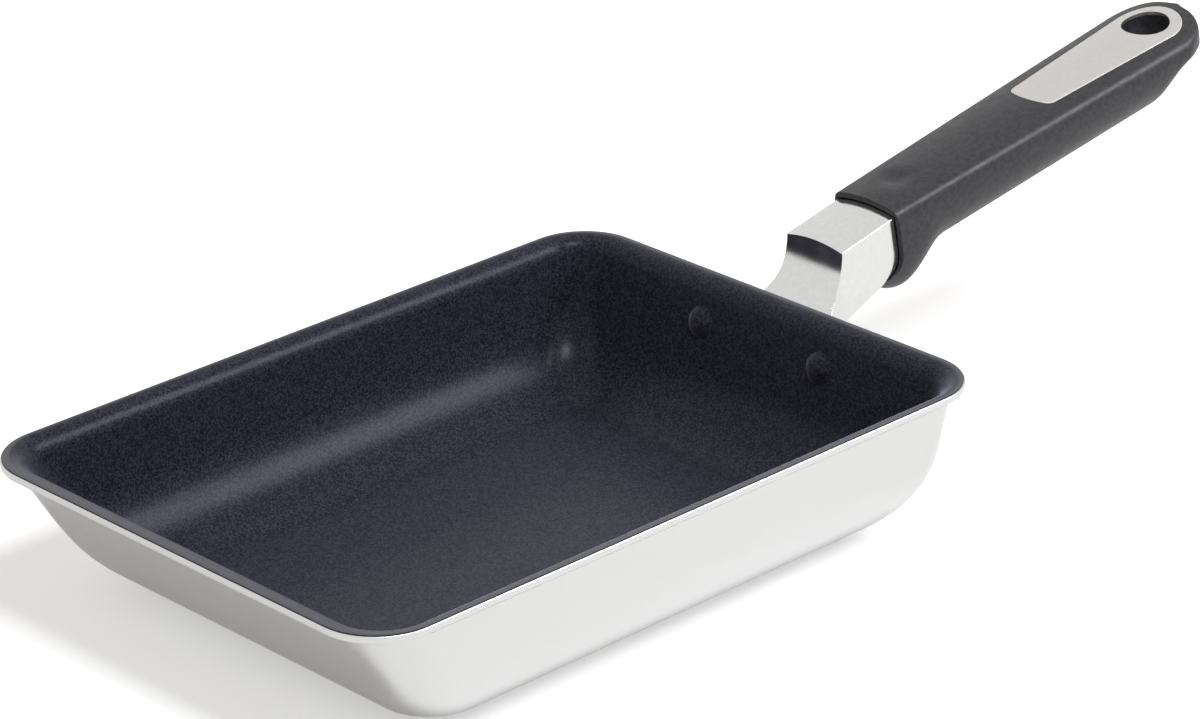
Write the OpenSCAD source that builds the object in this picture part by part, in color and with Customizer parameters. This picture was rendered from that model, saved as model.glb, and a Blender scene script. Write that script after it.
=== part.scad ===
// Tamagoyaki pan: a pressed aluminium rectangular pan with a non-stick lining,
// a riveted steel bracket and a resin grip drawn onto the bracket by one long screw.
// Origin: under the middle of the rim outline, on the plane that the base stands on.
// +X runs towards the handle, +Y towards the far long side and +Z up. Millimetres, degrees.

/* [Pan] */
// Length of the rim, from the front edge to the handle end
rim_length = 201.2; // [185:0.1:225]
// Width of the rim
rim_width = 145; // [130:0.5:175]
// Height of the rim above the hob
rim_height = 39.8; // [38.5:0.1:44]
// Corner radius of the rim, seen from above
rim_corner_radius = 16.5; // [13:0.5:22]
// Thickness of the aluminium sheet
sheet_thickness = 2; // [1.5:0.1:2.5]
// Thickness of the non-stick lining
lining_thickness = 0.3; // [0.2:0.05:0.5]
// How far the lip's edge stands out past the wall
lip_overhang = 3.4; // [3.1:0.1:4.5]
// Radius of the bend under the lip
lip_radius = 3; // [2:0.1:3.4]
// How far the lining stops short of the lip's edge
lining_setback = 0.3; // [0.1:0.1:0.8]
// Lean of the front wall from upright
front_lean = 31; // [20:1:36]
// Lean of the wall that carries the handle
handle_wall_lean = 15.5; // [10:0.5:20]
// Lean of the two long walls
side_lean = 1; // [0:0.5:6]
// Outside radius between the base and the front wall
front_base_radius = 32; // [18:0.5:33]
// Outside radius between the base and the handle's wall
handle_base_radius = 24; // [14:0.5:25]
// Outside radius between the base and the long walls
side_base_radius = 25; // [14:0.5:28]

/* [Rivets] */
// Distance between the two rivets
rivet_spacing = 42; // [41:0.5:50]
// How far the rivets lie below the underside of the lip
rivet_drop = 9.4; // [8.3:0.1:10.4]
// Diameter of a rivet's shank
rivet_diameter = 4; // [3:0.1:4.5]
// Diameter of the domed head inside the pan
rivet_head_diameter = 8.4; // [7:0.1:10]
// Height of the domed head
rivet_head_height = 1.5; // [0.8:0.1:2.2]
// Diameter of the upset head outside
rivet_tail_diameter = 6.6; // [5.6:0.1:7.4]
// Height of the upset head
rivet_tail_height = 1.8; // [1:0.1:2.4]

/* [Bracket] */
// Thickness of the bracket's sheet steel
bracket_sheet = 1.5; // [1.2:0.1:1.8]
// Gap from the rim's edge to the bracket's upright face
bracket_reach = 12.1; // [10.5:0.1:14]
// Height of the bracket's top, front middle, above the rim
bracket_rise = 11.9; // [10.5:0.1:13.5]
// Width of the bracket's neck
neck_width = 19.6; // [17.5:0.1:20.4]
// Climb of the neck's top towards the grip
neck_tilt = 12; // [10.5:0.1:13]
// Length of the upright face below the neck's top
upright_length = 2; // [1.5:0.1:3]
// Radius of the sweep from the upright face down to the pan
sweep_radius = 18; // [17:0.1:19]
// Angle that the sweep turns through
sweep_angle = 70; // [66:0.5:74]
// Radius of the bend where the tongue meets the flange
flange_bend_radius = 2; // [1.5:0.1:2.5]
// Height of the riveted flange
flange_height = 12; // [10.5:0.1:12.4]
// Length of the bracket's tang inside the grip
tang_length = 26; // [20:1:34]
// Angle at which the bracket's cheeks spread towards the pan
cheek_spread = 25; // [20:0.5:27]
// Radius at which the cheeks start to spread
cheek_bend_radius = 9; // [7:0.5:12]

/* [Grip] */
// Climb of the grip
grip_tilt = 9.7; // [9.3:0.1:10.2]
// Length of bare neck in front of the grip
neck_exposed = 18.4; // [15:0.1:20]
// Length of the grip from its mouth to its tail
grip_length = 126; // [118:0.5:150]
// Width between the two ridges at the mouth
grip_front_width = 21.4; // [21.2:0.1:24]
// Width between the two ridges at the hanging hole
grip_tail_width = 28.2; // [26:0.1:32]
// Radius of the crowned top across the grip
crown_radius = 40; // [34:1:60]
// Depth of the grip along its middle
grip_depth = 19.9; // [19.4:0.1:23]
// Depth of the finger guard behind the mouth
guard_depth = 25.2; // [24:0.1:27]
// Depth of the flat tail
tail_depth = 10.9; // [10.4:0.1:14]
// Height of the mouth, from the grip's top down to its lower lip
mouth_height = 19; // [18.4:0.1:20]
// How far the lower lip stands forward under the bracket
lip_reach = 7; // [5:0.5:8]
// How far the sides swell out past the ridges
side_swell = 0.9; // [0.5:0.1:1.6]
// Resin between the bracket and the grip's top
grip_wall = 1.75; // [1.5:0.05:2.2]
// Diameter of the hanging hole
hang_hole_diameter = 13.2; // [12:0.1:15]
// Distance from the hanging hole's middle to the tail's end
hang_hole_inset = 14.9; // [14.2:0.1:18]

/* [Inlay plate] */
// Thickness of the inlay plate
inlay_thickness = 1; // [0.8:0.1:1.5]
// Length of the plate in front of the hanging hole's middle
inlay_length = 49; // [35:0.5:60]
// Width of the plate near its front end
inlay_front_width = 14.8; // [12:0.1:17]
// Width of the plate's round end
inlay_ring_width = 19.8; // [19:0.1:22.4]
// Length of the two claws that hold the plate
claw_length = 3; // [2:0.1:4]

/* [Screw] */
// Diameter of the long screw
screw_diameter = 4; // [3:0.1:4.4]
// Depth of the screw's axis below the grip's top
screw_depth = 9.2; // [9:0.1:9.5]
// Diameter of the screw's head
screw_head_diameter = 7; // [6:0.1:7.2]
// Height of the screw's head
screw_head_height = 3.2; // [2.6:0.1:3.6]
// Width across the flats of the socket in the screw's head
screw_socket_width = 3; // [2:0.1:3.5]
// Depth of the socket in the screw's head
screw_socket_depth = 1.8; // [1:0.1:2]
// Length of the screw that stands out past the nut
screw_end = 2; // [0.5:0.1:4]
// Distance from the hanging hole's middle to the screw's seat
screw_seat_depth = 14; // [13:0.5:20]
// Outer diameter of the washers
washer_diameter = 7.6; // [7.3:0.1:7.8]
// Thickness of the flat washer
flat_washer_thickness = 0.6; // [0.5:0.1:1]
// Thickness of the spring washer
spring_washer_thickness = 1; // [0.8:0.1:1.2]
// Width across the flats of the nut
nut_width = 7; // [6:0.1:7.6]
// Thickness of the nut
nut_thickness = 3.2; // [2.6:0.1:4]

/* [Clearances] */
// Gap around the bracket inside the grip
socket_clearance = 0.1; // [0.05:0.01:0.15]
// Gap around the rivet shanks
rivet_clearance = 0.05; // [0.03:0.01:0.1]
// Gap around the screw in the nut and washers
screw_clearance = 0.1; // [0.05:0.01:0.2]
// Gap around the inlay plate and the washers in their pockets
pocket_clearance = 0.15; // [0.05:0.01:0.2]

/* [Hidden] */
// Play left so that neighbouring solids touch without overlapping
hair = 0.02;
// Overshoot of a cutter past the face it cuts
over = 1;
// Length or height of a cutter that has to clear the whole grip
past = 20;
// Segments of round solids, and of the crowned tops' long cylinders
round_fn = 64;
crown_fn = 128;

// Pan profile, measured as the inset from the rim's edge at a height
lip_under = rim_height - sheet_thickness - lining_thickness;
lining_face = sheet_thickness + lining_thickness;
corner_steps = 7;
base_turn = 78;
arc_steps = 9;
wall_steps = 3;
lip_steps = 6;
wall_top_x = rim_length / 2 - lip_overhang;
rivet_height = lip_under - rivet_drop;

// Frame of the neck: its top middle at the upright face
neck_x = rim_length / 2 + bracket_reach;
neck_z = rim_height + bracket_rise;
half_neck = neck_width / 2;
// How far the neck's crowned sheet runs on inside the grip
neck_overlap = 5;
neck_length = (neck_exposed + neck_overlap) / cos(neck_tilt);

// Frame of the grip: its top middle at the mouth
grip_x = neck_x + neck_exposed;
grip_z = neck_z + neck_exposed * tan(neck_tilt) + (grip_wall + socket_clearance) / cos(grip_tilt);
// The tang lies a little deeper than the neck, so that their crowns don't coincide
crown_step = 0.3;
tang_drop = grip_wall + socket_clearance + crown_step;
tang_start = 2;
tang_front = 7;
// The tang reaches just past the nut, and the cheeks just past the lower lip's upper face
tang_margin = 0.3;
tang_depth = screw_depth + nut_width / 2 + tang_margin;
cheek_depth = mouth_height + 2 * tang_margin;
cheek_front = tang_margin - lip_reach;
// How far behind the upright face the cheeks start to spread
cheek_start = 0.5;

// Points on the outside of the handle's wall
function wall_x(z) = wall_top_x - (lip_under - z) * tan(handle_wall_lean);
wall_out = [cos(handle_wall_lean), -sin(handle_wall_lean)];
flange_middle = [wall_x(rivet_height), rivet_height];
flange_radius = flange_height / 2;
flange_seat = flange_middle + hair * wall_out;
flange_foot = flange_seat - flange_radius * [sin(handle_wall_lean), cos(handle_wall_lean)];

// Hanging hole, inlay plate and screw, along the grip
hole_u = grip_length - hang_hole_inset;
inlay_front_u = hole_u - inlay_length;
seat_u = hole_u - screw_seat_depth;
recess_diameter = washer_diameter + 2 * pocket_clearance;
plate_wall_u = tang_length - bracket_sheet;

// Depth profile of the grip
guard_u = 2.5;
guard_reach = 17.5;
nose_length = guard_u + lip_reach;
nose_rise = 7.5;
swell_depth = 6;
// Exponents of the belly's superellipse along the grip and at the guard
belly_fullness = 2.15;
guard_fullness = 4;
// How far in front of the hanging hole's middle the tail starts to thin
tail_rise_lead = 10.5;
tail_rise_u = hole_u - tail_rise_lead;
tail_rise_length = 12.5;
tail_round_length = 13;
lip_front_u = -lip_reach;
mouth_radius = 5.5;
mouth_back = 0.3;
tail_bevel = 2.4;
tail_edge = 0.5;
inlay_proud = 0.1;
// Plan of the inlay plate's front end
inlay_front_radius = 14;
inlay_corner_radius = 3;
// Claws: the front one's distance from the plate's end, and the back one's from the screw's seat
claw_front_gap = 10;
claw_back_gap = 1;
claw_width = 4;
claw_thickness = 1;
// Steps along the arcs of the grip's sections
crown_steps = 4;
belly_steps = 8;
// Steps between the grip's sections: at the mouth, over the turns of its depth, and round the tail
mouth_step = 1.5;
turn_step = 2.5;
tail_steps = 12;

function smooth(s) = let (t = min(max(s, 0), 1)) t * t * (3 - 2 * t);
function arc(c, r, a0, a1, n) =
    [for (i = [0 : n]) let (a = a0 + (a1 - a0) * i / n) c + r * [cos(a), sin(a)]];
function flip(v) = [for (i = [len(v) - 1 : -1 : 0]) v[i]];

// Inset of one wall's surface at height z, d inside the outer surface; lean a, base radius r
function inset(z, d, a, r) =
    let (arc_top = r - (r - d) * sin(a),
         base_centre = lip_overhang + (lip_under - r) * tan(a) + r / cos(a),
         lip_centre_z = lip_under - lip_radius,
         lip_centre = lip_overhang + lip_radius * tan(a) - lip_radius / cos(a),
         lip_start = lip_centre_z + (lip_radius + d) * sin(a))
    z <= arc_top ? base_centre - sqrt(max((r - d) ^ 2 - (r - z) ^ 2, 0))
    : z < lip_start ? lip_overhang + (lip_under - z) * tan(a) + d / cos(a)
    : lip_centre + sqrt(max((lip_radius + d) ^ 2 - (z - lip_centre_z) ^ 2, 0));

// Rounded rectangle at height z, set in from the rim's outline at the front, handle end and sides
function outline(z, front, back, side, r) =
    let (x0 = -rim_length / 2 + front, x1 = rim_length / 2 - back, y1 = rim_width / 2 - side)
    [for (c = [[x1 - r, y1 - r, 0], [x0 + r, y1 - r, 90], [x0 + r, r - y1, 180], [x1 - r, r - y1, 270]])
        for (i = [0 : corner_steps]) let (a = c[2] + 90 * i / corner_steps)
            [c[0] + r * cos(a), c[1] + r * sin(a), z]];

// One ring of the surface that lies d inside the outer surface
function ring(z, d) =
    let (side = inset(z, d, side_lean, side_base_radius))
    outline(z, inset(z, d, front_lean, front_base_radius),
        inset(z, d, handle_wall_lean, handle_base_radius), side,
        rim_corner_radius - min(side, lip_overhang + d));

// Heights of the rings of a surface, from the base up to the lip
function levels(d) =
    let (r = side_base_radius - d, a = base_turn, top = d + r * (1 - cos(a)), lip = lip_under - lip_radius)
    concat([for (i = [0 : arc_steps]) d + r * (1 - cos(a * i / arc_steps))],
        [for (i = [1 : wall_steps]) top + (lip - top) * i / (wall_steps + 1)],
        [for (i = [0 : lip_steps]) lip + (lip_radius + d) * sin(90 * i / lip_steps)]);

// Skin between the surfaces d0 and d1 inside the outer one, ending e inside the rim's edge
module skin(d0, d1, e) {
    edge_r = rim_corner_radius - e;
    rings = concat(
        [for (z = levels(d0)) ring(z, d0)],
        [outline(lip_under + d0, e, e, e, edge_r), outline(lip_under + d1, e, e, e, edge_r)],
        [for (z = flip(levels(d1))) ring(z, d1)]);
    n = len(rings[0]);
    last = len(rings) - 1;
    polyhedron(
        points = [for (r = rings) each r],
        faces = concat(
            [[for (i = [0 : n - 1]) i]],
            [for (k = [0 : last - 1], i = [0 : n - 1]) let (j = (i + 1) % n) each [
                [k * n + i, (k + 1) * n + i, (k + 1) * n + j],
                [k * n + i, (k + 1) * n + j, k * n + j]
            ]],
            [[for (i = [n - 1 : -1 : 0]) last * n + i]]),
        convexity = 6);
}

// Puts children on a rivet's axis, with +Z out of the wall and 0 on its outside face
module at_rivet(side) {
    translate([flange_middle[0], side * rivet_spacing / 2, flange_middle[1]])
        rotate([0, 90 + handle_wall_lean, 0])
            children();
}

module rivet_holes() {
    for (side = [-1, 1])
        at_rivet(side)
            cylinder(d = rivet_diameter + 2 * rivet_clearance, h = past, center = true, $fn = round_fn);
}

module pan_body() {
    color([0.86, 0.86, 0.86])
        difference() {
            skin(0, sheet_thickness, 0);
            rivet_holes();
        }
}

module nonstick_lining() {
    color([0.12, 0.12, 0.15])
        difference() {
            skin(sheet_thickness, lining_face, lining_setback);
            rivet_holes();
        }
}

// Domed head on the lining, shank through wall and flange, upset head on the flange
module rivet(side) {
    head_z = -lining_face - hair;
    tail_z = bracket_sheet + 2 * hair;
    shank_r = rivet_diameter / 2;
    head_r = rivet_head_diameter / 2;
    tail_r = rivet_tail_diameter / 2;
    dome_r = (head_r ^ 2 + rivet_head_height ^ 2) / (2 * rivet_head_height);
    dome_a = asin(head_r / dome_r);
    tail_chamfer = rivet_tail_height / 3;
    color([0.2, 0.2, 0.23])
        at_rivet(side)
            rotate_extrude($fn = round_fn)
                polygon(concat(
                    arc([0, head_z - rivet_head_height + dome_r], dome_r, 270, 270 + dome_a, 8),
                    [[shank_r, head_z], [shank_r, tail_z], [tail_r, tail_z],
                     [tail_r, tail_z + rivet_tail_height - tail_chamfer],
                     [tail_r - tail_chamfer, tail_z + rivet_tail_height],
                     [0, tail_z + rivet_tail_height]]));
}

module rivet_left() {
    rivet(1);
}

module rivet_right() {
    rivet(-1);
}

// Side view of the tongue, o inside its upper face, from the neck down to the flange's foot
function tongue(o) =
    let (c1 = [neck_x - sweep_radius, neck_z - upright_length],
         e1 = c1 + sweep_radius * [cos(sweep_angle), -sin(sweep_angle)],
         along = [-sin(sweep_angle), -cos(sweep_angle)],
         up = [-cos(sweep_angle), sin(sweep_angle)],
         r2 = flange_bend_radius + bracket_sheet,
         run = (r2 + (flange_seat - e1 + r2 * up) * wall_out) / (along * wall_out),
         c2 = e1 + run * along - r2 * up)
    concat([[neck_x + o, neck_z + over]],
        arc(c1, sweep_radius + o, 0, -sweep_angle, 10),
        arc(c2, r2 - o, 180 - sweep_angle, 180 - handle_wall_lean, 6),
        [flange_foot + o * wall_out]);

// Plan of the bracket, o inside the outer face of its cheeks
module cheek_plan(o) {
    start_x = neck_x + cheek_start;
    end_x = wall_x(0) - over;
    bend = [start_x, half_neck + cheek_bend_radius];
    reach = cheek_bend_radius + o;
    knee = bend - reach * [sin(cheek_spread), cos(cheek_spread)];
    half = concat(
        [[grip_x + tang_length + past, half_neck - o]],
        arc(bend, reach, 270, 270 - cheek_spread, 5),
        [[end_x, knee[1] + (knee[0] - end_x) * tan(cheek_spread)]]);
    polygon(concat(half, [for (p = flip(half)) [p[0], -p[1]]]));
}

// Stands a side view in x and z up, w wide across y
module side_view(w) {
    rotate([90, 0, 0])
        linear_extrude(w, center = true)
            children();
}

module in_neck_frame() {
    translate([neck_x, 0, neck_z])
        rotate([0, -neck_tilt, 0])
            children();
}

module in_grip_frame() {
    translate([grip_x, 0, grip_z])
        rotate([0, -grip_tilt, 0])
            children();
}

// Solid below a crowned top, depth inside the local crown, from u0 to u1
module below_crown(depth, u0, u1) {
    translate([u0, 0, -crown_radius])
        rotate([0, 90, 0])
            cylinder(r = crown_radius - depth, h = u1 - u0, $fn = crown_fn);
}

// Point of the grip's side view, u along it and n above its top
function on_grip(u, n) = [
    grip_x + u * cos(grip_tilt) - n * sin(grip_tilt), grip_z + u * sin(grip_tilt) + n * cos(grip_tilt)
];

// Lower edge of the cheeks from the lip of the grip to the end of the tang, g lower
function cheek_edge(g) =
    [on_grip(cheek_front, -cheek_depth - g), on_grip(tang_front, -tang_depth - g),
     on_grip(tang_length, -tang_depth - g)];

// Side view of the bracket's outer faces
function bracket_view() = concat(tongue(0), cheek_edge(0), [on_grip(tang_length, past)]);

// Side view of the hollow under the sheet, open below
function hollow_view() =
    concat(tongue(bracket_sheet), [
        [wall_x(0), -past], on_grip(plate_wall_u, -tang_depth - past), on_grip(plate_wall_u, past)
    ]);

// Side view of the room inside the grip, g clear of the cheeks
function socket_view(g) =
    let (slope = (cheek_depth - tang_depth) / (tang_front - cheek_front))
    concat([on_grip(-past, -cheek_depth - g - slope * (past + cheek_front))], cheek_edge(g),
        [on_grip(tang_length + g, -tang_depth - g), on_grip(tang_length + g, past), on_grip(-past, past)]);

// Solid below the bracket's crowns and within its cheeks, t inside the outer faces
module bracket_form(view, t) {
    intersection() {
        linear_extrude(2 * neck_z)
            cheek_plan(t);
        side_view(rim_width)
            polygon(view);
        union() {
            in_neck_frame()
                below_crown(t, -2 * past, neck_length - t);
            in_grip_frame()
                below_crown(tang_drop + t, tang_start - t, tang_length + over);
        }
    }
}

module handle_bracket() {
    color([0.85, 0.85, 0.84])
        difference() {
            union() {
                difference() {
                    bracket_form(bracket_view(), 0);
                    bracket_form(hollow_view(), bracket_sheet);
                }
                flange();
            }
            rivet_holes();
            in_grip_frame()
                screw_bore(screw_diameter + 4 * screw_clearance, plate_wall_u - over, tang_length + over);
        }
}

// Flange with a round end behind each rivet
module flange() {
    translate([flange_seat[0], 0, flange_seat[1]])
        rotate([0, 90 + handle_wall_lean, 0])
            linear_extrude(bracket_sheet) {
                square([flange_height, rivet_spacing], center = true);
                for (side = [-1, 1])
                    translate([0, side * rivet_spacing / 2])
                        circle(r = flange_radius, $fn = round_fn);
            }
}

// Cylinder along the screw's axis
module screw_bore(d, u0, u1) {
    translate([u0, 0, -screw_depth])
        rotate([0, 90, 0])
            cylinder(d = d, h = u1 - u0, $fn = round_fn);
}

// Half of the width between the ridges, u along the grip
function ridge_half(u) =
    let (s = (u - hole_u) / (hang_hole_inset - tail_bevel))
    u < hole_u ? (grip_front_width + (grip_tail_width - grip_front_width) * u / hole_u) / 2
    : max(grip_tail_width / 2 * sqrt(max(1 - s * s, 0)), tail_edge);

// Half of the width where the sides swell most
function swell_half(u) =
    let (s = (u - hole_u) / hang_hole_inset)
    u < hole_u ? ridge_half(u) + side_swell
    : (grip_tail_width / 2 + side_swell) * sqrt(max(1 - s * s, 0));

// Depth of the belly below the top
function belly(u) =
    let (nose = (guard_u - u) / nose_length,
         back = max((u - grip_length + tail_round_length) / tail_round_length, 0),
         full = u < guard_u ? guard_depth - nose_rise * (1 - sqrt(max(1 - nose * nose, 0)))
             : grip_depth + (guard_depth - grip_depth) * (1 - smooth((u - guard_u) / guard_reach))
                 - (grip_depth - tail_depth) * smooth((u - tail_rise_u) / tail_rise_length))
    swell_depth + (full - swell_depth) * sqrt(max(1 - back * back, 0));

// How far the top falls away at the very end of the tail
function tail_fall(u) =
    let (s = max((u - grip_length + tail_bevel) / tail_bevel, 0))
    (swell_depth - tail_edge) * (1 - sqrt(max(1 - s * s, 0)));

// Height of the crowned top at y, from its middle
function crown_at(y) = sqrt(crown_radius ^ 2 - y * y) - crown_radius;

// Cross-section at u: crowned top, swelling sides and a belly that is boxy at the guard
function section(u) =
    let (w = ridge_half(u), m = max(swell_half(u), w + hair), h = belly(u), fall = tail_fall(u),
         box = belly_fullness + (guard_fullness - belly_fullness) * (1 - smooth(u / guard_reach)),
         edge = crown_at(w) - fall,
         top = [for (i = [-crown_steps : crown_steps])
             let (y = -w * i / crown_steps) [y, crown_at(y) - fall]],
         side = [for (t = [1, 2, 3] / 3) [-w - (m - w) * sin(90 * t), edge - (swell_depth + edge) * t]],
         low = [for (i = [1 : belly_steps]) let (a = 90 * i / belly_steps)
             [-m * cos(a) ^ (2 / box), -swell_depth - (h - swell_depth) * sin(a) ^ (2 / box)]],
         half = concat(side, low))
    concat(top, half, [for (i = [len(half) - 2 : -1 : 0]) [-half[i][0], half[i][1]]]);

// Stations along the grip, closer where its shape turns
function stations() =
    concat([for (u = [lip_front_u : mouth_step : guard_u]) u],
        [for (u = [guard_u + turn_step : turn_step : guard_u + guard_reach]) u],
        [for (i = [1 : 5]) let (a = guard_u + guard_reach) a + (tail_rise_u - a) * i / 5],
        [for (u = [tail_rise_u + turn_step : turn_step : hole_u - 1]) u],
        [for (i = [0 : tail_steps]) hole_u + (hang_hole_inset - hair) * sin(90 * i / tail_steps)]);

module grip_form() {
    rows = [for (u = stations()) [for (p = section(u)) [u, p[0], p[1]]]];
    n = len(rows[0]);
    last = len(rows) - 1;
    polyhedron(
        points = [for (r = rows) each r],
        faces = concat(
            [[for (i = [0 : n - 1]) i]],
            [for (k = [0 : last - 1], i = [0 : n - 1]) let (j = (i + 1) % n) each [
                [k * n + i, (k + 1) * n + i, (k + 1) * n + j],
                [k * n + i, (k + 1) * n + j, k * n + j]
            ]],
            [[for (i = [n - 1 : -1 : 0]) last * n + i]]),
        convexity = 6);
}

// Cut that shapes the mouth and leaves the lower lip standing forward
module mouth_cut() {
    corner = [mouth_back - mouth_radius, mouth_radius - mouth_height];
    side_view(2 * grip_tail_width)
        polygon(concat([[-past, past], [mouth_back, past]], arc(corner, mouth_radius, 0, -90, 8),
            [[-past, -mouth_height]]));
}

// Room for the neck and the tang
module socket() {
    wide = neck_width + 2 * socket_clearance;
    intersection() {
        side_view(wide)
            polygon(socket_view(socket_clearance));
        union() {
            in_neck_frame()
                below_crown(-socket_clearance, 0, neck_length + socket_clearance);
            in_grip_frame()
                below_crown(tang_drop - socket_clearance, 0, tang_length + socket_clearance);
        }
    }
}

// Plan of the inlay plate, g larger all round
module inlay_plan(g) {
    ring_r = inlay_ring_width / 2;
    front_r = inlay_front_radius;
    corner_r = inlay_corner_radius;
    front_middle = [inlay_front_u + front_r, 0];
    turn = asin((inlay_front_width / 2 - corner_r) / (front_r - corner_r));
    corner = front_middle + (front_r - corner_r) * [-cos(turn), sin(turn)];
    to_ring = [hole_u, 0] - corner;
    lean = asin((ring_r - corner_r) / norm(to_ring)) + atan(to_ring[1] / to_ring[0]);
    half = concat(
        arc(front_middle, front_r + g, 180, 180 - turn, 4),
        arc(corner, corner_r + g, 180 - turn, 90 + lean, 6),
        arc([hole_u, 0], ring_r + g, 90 + lean, 0, 16));
    polygon(concat(half, [for (p = flip(half)) [p[0], -p[1]]]));
}

// Prism of the plan over the grip's top
module inlay_prism(g) {
    translate([0, 0, -past / 2])
        linear_extrude(past)
            inlay_plan(g);
}

// Claws under the plate, g larger all round
module claws(g) {
    for (u = [inlay_front_u + claw_front_gap, seat_u - claw_thickness - claw_back_gap])
        translate([u - g, -claw_width / 2 - g, -inlay_thickness - claw_length - g])
            cube([claw_thickness + 2 * g, claw_width + 2 * g, claw_length + inlay_thickness / 2 + g]);
}

module hang_hole() {
    translate([hole_u, 0, -grip_depth - past])
        cylinder(d = hang_hole_diameter, h = grip_depth + 2 * past, $fn = round_fn);
}

module grip() {
    color([0.25, 0.25, 0.27])
        difference() {
            in_grip_frame()
                difference() {
                    grip_form();
                    mouth_cut();
                    difference() {
                        inlay_prism(pocket_clearance);
                        below_crown(inlay_thickness + hair, 0, grip_length + past);
                    }
                    claws(pocket_clearance);
                    hang_hole();
                    screw_bore(screw_diameter + 4 * screw_clearance, tang_length - over, seat_u + over);
                    screw_bore(recess_diameter, seat_u, hole_u - hang_hole_diameter / 4);
                }
            socket();
        }
}

module inlay_plate() {
    color([0.82, 0.8, 0.79])
        in_grip_frame()
            difference() {
                union() {
                    intersection() {
                        inlay_prism(0);
                        difference() {
                            below_crown(-inlay_proud, over, grip_length);
                            below_crown(inlay_thickness, 0, grip_length + over);
                        }
                    }
                    claws(0);
                }
                hang_hole();
            }
}

// Puts children on the screw's axis with +Z towards the tail and 0 on the seat
module on_seat(z = 0) {
    in_grip_frame()
        translate([seat_u + z, 0, -screw_depth])
            rotate([0, 90, 0])
                children();
}

module ring_washer(thickness) {
    difference() {
        cylinder(d = washer_diameter, h = thickness, $fn = round_fn);
        translate([0, 0, -over])
            cylinder(d = screw_diameter + 2 * screw_clearance, h = thickness + 2 * over, $fn = round_fn);
    }
}

module flat_washer() {
    color([0.75, 0.75, 0.76])
        on_seat(hair)
            ring_washer(flat_washer_thickness);
}

// Ring with one split
module spring_washer() {
    split = spring_washer_thickness;
    color([0.6, 0.6, 0.62])
        on_seat(flat_washer_thickness + 2 * hair)
            difference() {
                ring_washer(spring_washer_thickness);
                translate([0, -split / 2, -over])
                    cube([washer_diameter, split, spring_washer_thickness + 2 * over]);
            }
}

// Prism with six flats, w across them
module six_flats(w, h) {
    rotate([0, 0, 30])
        cylinder(d = w / cos(30), h = h, $fn = 6);
}

module handle_screw() {
    head_z = flat_washer_thickness + spring_washer_thickness + 3 * hair;
    shank = seat_u - plate_wall_u + nut_thickness + screw_end;
    color([0.75, 0.75, 0.76])
        on_seat(head_z)
            difference() {
                union() {
                    cylinder(d = screw_head_diameter, h = screw_head_height, $fn = round_fn);
                    translate([0, 0, -shank - head_z])
                        cylinder(d = screw_diameter, h = shank + head_z + hair, $fn = round_fn);
                }
                translate([0, 0, screw_head_height - screw_socket_depth])
                    six_flats(screw_socket_width, screw_socket_depth + over);
            }
}

module bracket_nut() {
    color([0.75, 0.75, 0.76])
        in_grip_frame()
            translate([plate_wall_u - hair - nut_thickness, 0, -screw_depth])
                rotate([0, 90, 0])
                    difference() {
                        six_flats(nut_width, nut_thickness);
                        translate([0, 0, -over])
                            cylinder(d = screw_diameter + 2 * screw_clearance,
                                h = nut_thickness + 2 * over, $fn = round_fn);
                    }
}

pan_body();
nonstick_lining();
rivet_left();
rivet_right();
handle_bracket();
bracket_nut();
grip();
inlay_plate();
handle_screw();
flat_washer();
spring_washer();
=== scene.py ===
from math import asin, atan2, cos, degrees, exp, radians, sin, sqrt, tan

import bmesh
import bpy
from mathutils import Matrix, Vector


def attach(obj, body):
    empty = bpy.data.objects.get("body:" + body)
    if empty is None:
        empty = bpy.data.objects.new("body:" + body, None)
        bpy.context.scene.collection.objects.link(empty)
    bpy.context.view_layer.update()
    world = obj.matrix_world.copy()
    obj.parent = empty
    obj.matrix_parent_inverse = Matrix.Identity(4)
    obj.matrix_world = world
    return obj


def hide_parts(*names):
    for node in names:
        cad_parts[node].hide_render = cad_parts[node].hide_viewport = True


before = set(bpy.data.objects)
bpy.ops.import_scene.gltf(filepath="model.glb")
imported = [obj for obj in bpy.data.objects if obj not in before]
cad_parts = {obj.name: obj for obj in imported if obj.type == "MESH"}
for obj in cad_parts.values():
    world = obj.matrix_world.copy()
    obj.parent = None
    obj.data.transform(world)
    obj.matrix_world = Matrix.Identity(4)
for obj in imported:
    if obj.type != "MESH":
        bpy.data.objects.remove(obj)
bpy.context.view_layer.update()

mm = 0.001


# small helpers: lengths are in mm, angles in degrees
def sinD(a):
    return sin(radians(a))


def cosD(a):
    return cos(radians(a))


def tanD(a):
    return tan(radians(a))


def arc(cx, cy, r, a0, a1, steps):
    turn = [a0 + (a1 - a0) * i / steps for i in range(steps + 1)]
    return [(cx + r * cosD(a), cy + r * sinD(a)) for a in turn]


def smoothStep(s):
    t = min(max(s, 0), 1)
    return t * t * (3 - 2 * t)


def clearSelection():
    if bpy.context.object and bpy.context.object.mode != "OBJECT":
        bpy.ops.object.mode_set(mode="OBJECT")
    bpy.ops.object.select_all(action="DESELECT")


def startPiece(name):  # names the primitive that was just added
    piece = bpy.context.object
    piece.name = name
    piece.data.name = name
    return piece


def openMesh(piece, mode="VERT"):
    if piece.mode != "EDIT":
        bpy.ops.object.mode_set(mode="EDIT")
    bpy.ops.mesh.select_mode(type=mode)
    mesh = bmesh.from_edit_mesh(piece.data)
    for part in (mesh.verts, mesh.edges, mesh.faces):
        part.ensure_lookup_table()
    return mesh


def closeMesh(piece, outward=True):
    openMesh(piece)
    bpy.ops.mesh.select_all(action="SELECT")
    if outward:
        bpy.ops.mesh.normals_make_consistent(inside=False)
    bpy.ops.object.mode_set(mode="OBJECT")


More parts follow.
